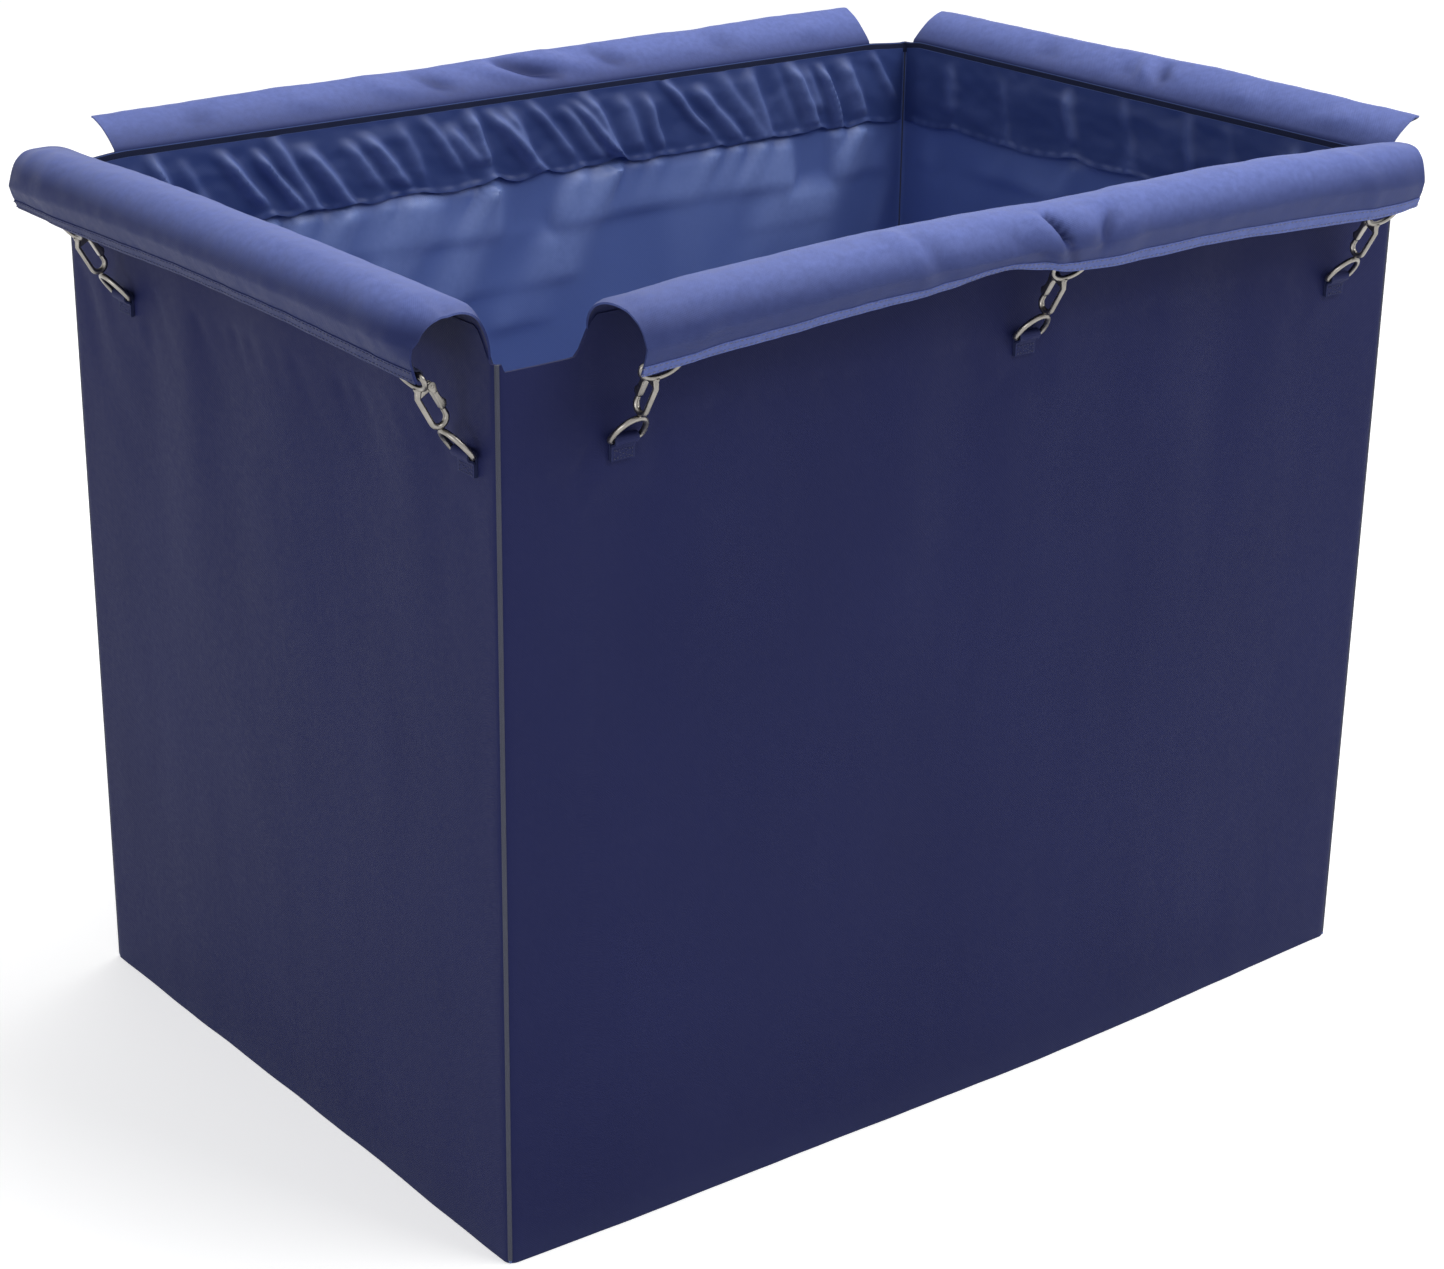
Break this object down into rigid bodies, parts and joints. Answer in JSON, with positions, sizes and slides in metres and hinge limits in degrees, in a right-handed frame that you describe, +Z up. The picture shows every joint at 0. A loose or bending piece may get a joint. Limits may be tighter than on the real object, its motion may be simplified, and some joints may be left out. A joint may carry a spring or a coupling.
{
  "type": "laundry cart bag",
  "caption": "Open-top rectangular cloth bag for a laundry cart, with rim flaps that roll over the cart's rail and snap hooks that clip to rings on the walls.",
  "frame": {"origin": "on the floor, under the middle of the bag", "axes": "+X along the long side, +Y from the front wall to the back wall, +Z up"},
  "size_m": [0.9096, 0.6596, 0.6649],
  "materials": {
    "navy_cloth": "coated woven cloth, satin",
    "navy_lining": "coated woven cloth, soft sheen",
    "flap_cloth": "coated woven cloth, soft sheen",
    "grey_piping": "woven piping",
    "dark_tape": "woven tape",
    "navy_webbing": "woven webbing",
    "nickel": "bright nickel plate"
  },
  "bodies": {
    "bag": {"back_facing": "navy_lining", "back_left_piping": "grey_piping", "back_right_piping": "grey_piping", "back_wall": "navy_cloth", "floor_panel": "navy_cloth", "front_facing": "navy_lining", "front_left_piping": "grey_piping", "front_right_piping": "grey_piping", "front_wall": "navy_cloth", "left_facing": "navy_lining", "left_wall": "navy_cloth", "right_facing": "navy_lining", "right_wall": "navy_cloth", "rim_tape": "dark_tape", "ring_tab_back_1": "navy_webbing", "ring_tab_back_2": "navy_webbing", "ring_tab_back_3": "navy_webbing", "ring_tab_front_1": "navy_webbing", "ring_tab_front_2": "navy_webbing", "ring_tab_front_3": "navy_webbing", "ring_tab_left_1": "navy_webbing", "ring_tab_left_2": "navy_webbing", "ring_tab_right_1": "navy_webbing", "ring_tab_right_2": "navy_webbing"},
    "flap_front": {"front_flap": "flap_cloth"},
    "flap_right": {"right_flap": "flap_cloth"},
    "flap_back": {"back_flap": "flap_cloth"},
    "flap_left": {"left_flap": "flap_cloth"},
    "hook_front_1": {"snap_hook_front_1": "nickel"},
    "gate_front_1": {"hook_gate_front_1": "nickel"},
    "ring_front_1": {"wall_ring_front_1": "nickel"},
    "hook_front_2": {"snap_hook_front_2": "nickel"},
    "gate_front_2": {"hook_gate_front_2": "nickel"},
    "ring_front_2": {"wall_ring_front_2": "nickel"},
    "hook_front_3": {"snap_hook_front_3": "nickel"},
    "gate_front_3": {"hook_gate_front_3": "nickel"},
    "ring_front_3": {"wall_ring_front_3": "nickel"},
    "hook_right_1": {"snap_hook_right_1": "nickel"},
    "gate_right_1": {"hook_gate_right_1": "nickel"},
    "ring_right_1": {"wall_ring_right_1": "nickel"},
    "hook_right_2": {"snap_hook_right_2": "nickel"},
    "gate_right_2": {"hook_gate_right_2": "nickel"},
    "ring_right_2": {"wall_ring_right_2": "nickel"},
    "hook_back_1": {"snap_hook_back_1": "nickel"},
    "gate_back_1": {"hook_gate_back_1": "nickel"},
    "ring_back_1": {"wall_ring_back_1": "nickel"},
    "hook_back_2": {"snap_hook_back_2": "nickel"},
    "gate_back_2": {"hook_gate_back_2": "nickel"},
    "ring_back_2": {"wall_ring_back_2": "nickel"},
    "hook_back_3": {"snap_hook_back_3": "nickel"},
    "gate_back_3": {"hook_gate_back_3": "nickel"},
    "ring_back_3": {"wall_ring_back_3": "nickel"},
    "hook_left_1": {"snap_hook_left_1": "nickel"},
    "gate_left_1": {"hook_gate_left_1": "nickel"},
    "ring_left_1": {"wall_ring_left_1": "nickel"},
    "hook_left_2": {"snap_hook_left_2": "nickel"},
    "gate_left_2": {"hook_gate_left_2": "nickel"},
    "ring_left_2": {"wall_ring_left_2": "nickel"}
  },
  "joints": [
    {"name": "front_flap_fold", "type": "hinge", "parent": "bag", "child": "flap_front", "pos_m": [0, -0.27375, 0.6414], "axis": [-1, 0, 0], "range_deg": [0, 80]},
    {"name": "right_flap_fold", "type": "hinge", "parent": "bag", "child": "flap_right", "pos_m": [0.39875, 0, 0.6414], "axis": [0, -1, 0], "range_deg": [0, 80]},
    {"name": "back_flap_fold", "type": "hinge", "parent": "bag", "child": "flap_back", "pos_m": [0, 0.27375, 0.6414], "axis": [1, 0, 0], "range_deg": [0, 80]},
    {"name": "left_flap_fold", "type": "hinge", "parent": "bag", "child": "flap_left", "pos_m": [-0.39875, 0, 0.6414], "axis": [0, 1, 0], "range_deg": [0, 80]},
    {"name": "hook_front_1_swing", "type": "hinge", "parent": "flap_front", "child": "hook_front_1", "pos_m": [-0.30903, -0.31779, 0.61777], "axis": [-1, 0, 0], "range_deg": [-18, 40]},
    {"name": "gate_front_1_open", "type": "hinge", "parent": "hook_front_1", "child": "gate_front_1", "pos_m": [-0.30903, -0.3023, 0.60592], "axis": [-1, 0, 0], "range_deg": [0, 16], "stiffness_Nm_per_rad": 0.05, "springref_deg": -11.46},
    {"name": "ring_front_1_tilt", "type": "hinge", "parent": "bag", "child": "ring_front_1", "pos_m": [-0.30903, -0.2792, 0.5593], "axis": [1, 0, 0], "range_deg": [-30, 105]},
    {"name": "hook_front_2_swing", "type": "hinge", "parent": "flap_front", "child": "hook_front_2", "pos_m": [0.02726, -0.31812, 0.62617], "axis": [-1, 0, 0], "range_deg": [-18, 40]},
    {"name": "gate_front_2_open", "type": "hinge", "parent": "hook_front_2", "child": "gate_front_2", "pos_m": [0.02726, -0.30254, 0.61445], "axis": [-1, 0, 0], "range_deg": [0, 16], "stiffness_Nm_per_rad": 0.05, "springref_deg": -11.46},
    {"name": "ring_front_2_tilt", "type": "hinge", "parent": "bag", "child": "ring_front_2", "pos_m": [0.02726, -0.2792, 0.5679], "axis": [1, 0, 0], "range_deg": [-30, 105]},
    {"name": "hook_front_3_swing", "type": "hinge", "parent": "flap_front", "child": "hook_front_3", "pos_m": [0.33816, -0.31778, 0.61775], "axis": [-1, 0, 0], "range_deg": [-18, 40]},
    {"name": "gate_front_3_open", "type": "hinge", "parent": "hook_front_3", "child": "gate_front_3", "pos_m": [0.33816, -0.3023, 0.6059], "axis": [-1, 0, 0], "range_deg": [0, 16], "stiffness_Nm_per_rad": 0.05, "springref_deg": -11.46},
    {"name": "ring_front_3_tilt", "type": "hinge", "parent": "bag", "child": "ring_front_3", "pos_m": [0.33816, -0.2792, 0.55928], "axis": [1, 0, 0], "range_deg": [-30, 105]},
    {"name": "hook_right_1_swing", "type": "hinge", "parent": "flap_right", "child": "hook_right_1", "pos_m": [0.44271, -0.20514, 0.61764], "axis": [0, -1, 0], "range_deg": [-18, 40]},
    {"name": "gate_right_1_open", "type": "hinge", "parent": "hook_right_1", "child": "gate_right_1", "pos_m": [0.42724, -0.20514, 0.60576], "axis": [0, -1, 0], "range_deg": [0, 16], "stiffness_Nm_per_rad": 0.05, "springref_deg": -11.46},
    {"name": "ring_right_1_tilt", "type": "hinge", "parent": "bag", "child": "ring_right_1", "pos_m": [0.4042, -0.20514, 0.55912], "axis": [0, 1, 0], "range_deg": [-30, 105]},
    {"name": "hook_right_2_swing", "type": "hinge", "parent": "flap_right", "child": "hook_right_2", "pos_m": [0.44271, 0.20514, 0.61764], "axis": [0, -1, 0], "range_deg": [-18, 40]},
    {"name": "gate_right_2_open", "type": "hinge", "parent": "hook_right_2", "child": "gate_right_2", "pos_m": [0.42724, 0.20514, 0.60576], "axis": [0, -1, 0], "range_deg": [0, 16], "stiffness_Nm_per_rad": 0.05, "springref_deg": -11.46},
    {"name": "ring_right_2_tilt", "type": "hinge", "parent": "bag", "child": "ring_right_2", "pos_m": [0.4042, 0.20514, 0.55912], "axis": [0, 1, 0], "range_deg": [-30, 105]},
    {"name": "hook_back_1_swing", "type": "hinge", "parent": "flap_back", "child": "hook_back_1", "pos_m": [0.29465, 0.31778, 0.61775], "axis": [1, 0, 0], "range_deg": [-18, 40]},
    {"name": "gate_back_1_open", "type": "hinge", "parent": "hook_back_1", "child": "gate_back_1", "pos_m": [0.29465, 0.3023, 0.6059], "axis": [1, 0, 0], "range_deg": [0, 16], "stiffness_Nm_per_rad": 0.05, "springref_deg": -11.46},
    {"name": "ring_back_1_tilt", "type": "hinge", "parent": "bag", "child": "ring_back_1", "pos_m": [0.29465, 0.2792, 0.55928], "axis": [-1, 0, 0], "range_deg": [-30, 105]},
    {"name": "hook_back_2_swing", "type": "hinge", "parent": "flap_back", "child": "hook_back_2", "pos_m": [0, 0.31771, 0.61764], "axis": [1, 0, 0], "range_deg": [-18, 40]},
    {"name": "gate_back_2_open", "type": "hinge", "parent": "hook_back_2", "child": "gate_back_2", "pos_m": [0, 0.30224, 0.60576], "axis": [1, 0, 0], "range_deg": [0, 16], "stiffness_Nm_per_rad": 0.05, "springref_deg": -11.46},
    {"name": "ring_back_2_tilt", "type": "hinge", "parent": "bag", "child": "ring_back_2", "pos_m": [0, 0.2792, 0.55912], "axis": [-1, 0, 0], "range_deg": [-30, 105]},
    {"name": "hook_back_3_swing", "type": "hinge", "parent": "flap_back", "child": "hook_back_3", "pos_m": [-0.29465, 0.31778, 0.61775], "axis": [1, 0, 0], "range_deg": [-18, 40]},
    {"name": "gate_back_3_open", "type": "hinge", "parent": "hook_back_3", "child": "gate_back_3", "pos_m": [-0.29465, 0.3023, 0.6059], "axis": [1, 0, 0], "range_deg": [0, 16], "stiffness_Nm_per_rad": 0.05, "springref_deg": -11.46},
    {"name": "ring_back_3_tilt", "type": "hinge", "parent": "bag", "child": "ring_back_3", "pos_m": [-0.29465, 0.2792, 0.55928], "axis": [-1, 0, 0], "range_deg": [-30, 105]},
    {"name": "hook_left_1_swing", "type": "hinge", "parent": "flap_left", "child": "hook_left_1", "pos_m": [-0.44271, 0.18799, 0.61765], "axis": [0, 1, 0], "range_deg": [-18, 40]},
    {"name": "gate_left_1_open", "type": "hinge", "parent": "hook_left_1", "child": "gate_left_1", "pos_m": [-0.42725, 0.18799, 0.60577], "axis": [0, 1, 0], "range_deg": [0, 16], "stiffness_Nm_per_rad": 0.05, "springref_deg": -11.46},
    {"name": "ring_left_1_tilt", "type": "hinge", "parent": "bag", "child": "ring_left_1", "pos_m": [-0.4042, 0.18799, 0.55914], "axis": [0, -1, 0], "range_deg": [-30, 105]},
    {"name": "hook_left_2_swing", "type": "hinge", "parent": "flap_left", "child": "hook_left_2", "pos_m": [-0.44273, -0.24543, 0.61767], "axis": [0, 1, 0], "range_deg": [-18, 40]},
    {"name": "gate_left_2_open", "type": "hinge", "parent": "hook_left_2", "child": "gate_left_2", "pos_m": [-0.42726, -0.24543, 0.6058], "axis": [0, 1, 0], "range_deg": [0, 16], "stiffness_Nm_per_rad": 0.05, "springref_deg": -11.46},
    {"name": "ring_left_2_tilt", "type": "hinge", "parent": "bag", "child": "ring_left_2", "pos_m": [-0.4042, -0.24543, 0.55917], "axis": [0, -1, 0], "range_deg": [-30, 105]}
  ]
}
